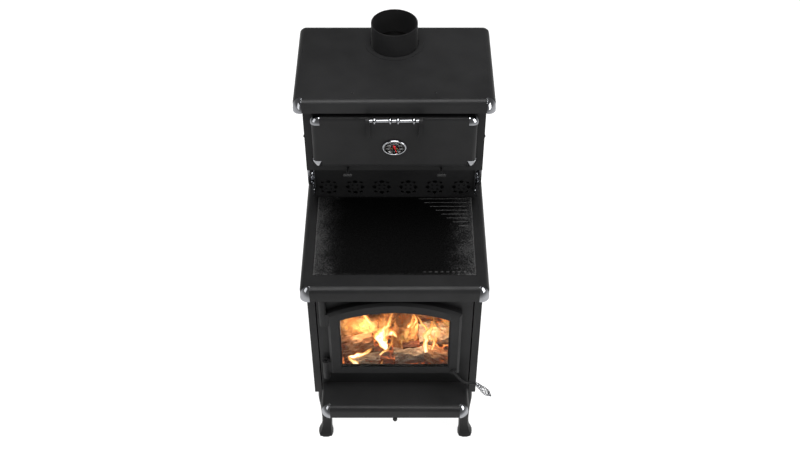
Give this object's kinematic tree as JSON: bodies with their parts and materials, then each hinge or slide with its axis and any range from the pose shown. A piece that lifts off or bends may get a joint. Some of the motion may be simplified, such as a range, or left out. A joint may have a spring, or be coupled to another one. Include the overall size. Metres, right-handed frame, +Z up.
{
  "type": "wood cookstove",
  "caption": "Wood cookstove with an arched glass firebox door, cast cooktop, warming oven with a drop door, flue stub, ash shelf and cabriole legs.",
  "frame": {"origin": "on the floor under the middle of the stove's whole footprint, its door handle included", "axes": "+Z up, +Y towards the back, +X to the right of someone facing the firebox door"},
  "size_m": [0.6644, 0.76, 1.569],
  "materials": {
    "black_steel": "satin stove black",
    "cast_iron": "matt black, fine sand texture",
    "cooktop_iron": "polished and blacked, faint mottle",
    "chrome": "bright plated",
    "stainless": "brushed",
    "firebrick": "rough refractory, sooted",
    "glass": "clear ceramic glass",
    "dial": "matt black with pale marks",
    "needle_red": "matt red"
  },
  "bodies": {
    "stove": {"leg_front_left": "cast_iron", "leg_rear_left": "cast_iron", "leg_front_right": "cast_iron", "leg_rear_right": "cast_iron", "base_plate": "black_steel", "firebox_shell": "black_steel", "firebrick_floor": "firebrick", "firebrick_left": "firebrick", "firebrick_right": "firebrick", "firebrick_rear": "firebrick", "air_tube_1": "stainless", "air_tube_2": "stainless", "baffle_plate": "firebrick", "heat_shield_left": "black_steel", "heat_shield_right": "black_steel", "heat_shield_rear": "black_steel", "hinge_upper": "cast_iron", "hinge_lower": "cast_iron", "ash_shelf": "black_steel", "ash_shelf_cap_left": "chrome", "ash_shelf_cap_right": "chrome", "cooktop_surround": "black_steel", "cooktop_cap_left": "chrome", "cooktop_cap_right": "chrome", "cooktop_plate": "cooktop_iron", "backsplash": "black_steel", "smoke_riser": "black_steel", "scroll_bracket_left": "chrome", "scroll_bracket_right": "chrome", "oven_cabinet": "black_steel", "oven_liner": "stainless", "oven_rack": "stainless", "oven_hinge_left": "black_steel", "oven_hinge_right": "black_steel", "roof": "black_steel", "roof_cap_left": "chrome", "roof_cap_right": "chrome", "flue_pipe": "black_steel"},
    "firebox_door": {"firebox_door_frame": "cast_iron", "firebox_glass": "glass", "glass_retainer": "black_steel"},
    "door_latch": {"latch_lever": "cast_iron", "handle_coil_grip": "chrome"},
    "oven_door": {"oven_door_shell": "black_steel", "oven_door_liner": "stainless", "oven_door_cap_top_left": "chrome", "oven_door_cap_bottom_left": "chrome", "oven_door_cap_top_right": "chrome", "oven_door_cap_bottom_right": "chrome", "oven_handle_bar": "chrome", "oven_handle_arm_left": "cast_iron", "oven_handle_arm_right": "cast_iron", "gauge_bezel": "chrome", "gauge_dial": "dial", "gauge_glass": "glass"},
    "gauge_needle": {"gauge_needle": "needle_red"},
    "damper_left": {"damper_left": "cast_iron"},
    "damper_right": {"damper_right": "cast_iron"},
    "air_control": {"air_control": "cast_iron"}
  },
  "joints": [
    {"name": "firebox_door_hinge", "type": "hinge", "parent": "stove", "child": "firebox_door", "pos_m": [-0.26053, -0.267, 0.6], "axis": [0, 0, -1], "range_deg": [0, 110]},
    {"name": "latch_turn", "type": "hinge", "parent": "firebox_door", "child": "door_latch", "pos_m": [0.19647, -0.29, 0.458], "axis": [0, -1, 0], "range_deg": [0, 80]},
    {"name": "oven_door_hinge", "type": "hinge", "parent": "stove", "child": "oven_door", "pos_m": [-0.01353, 0.0005, 1.215], "axis": [1, 0, 0], "range_deg": [0, 90]},
    {"name": "needle_turn", "type": "hinge", "parent": "oven_door", "child": "gauge_needle", "pos_m": [-0.01353, -0.026, 1.299], "axis": [0, -1, 0], "range_deg": [0, 270]},
    {"name": "damper_left_slide", "type": "slide", "parent": "stove", "child": "damper_left", "axis": [0, -1, 0], "range_m": [0, 0.06]},
    {"name": "damper_right_slide", "type": "slide", "parent": "stove", "child": "damper_right", "axis": [0, -1, 0], "range_m": [0, 0.06]},
    {"name": "air_control_slide", "type": "slide", "parent": "stove", "child": "air_control", "axis": [0, -1, 0], "range_m": [0, 0.05]}
  ]
}
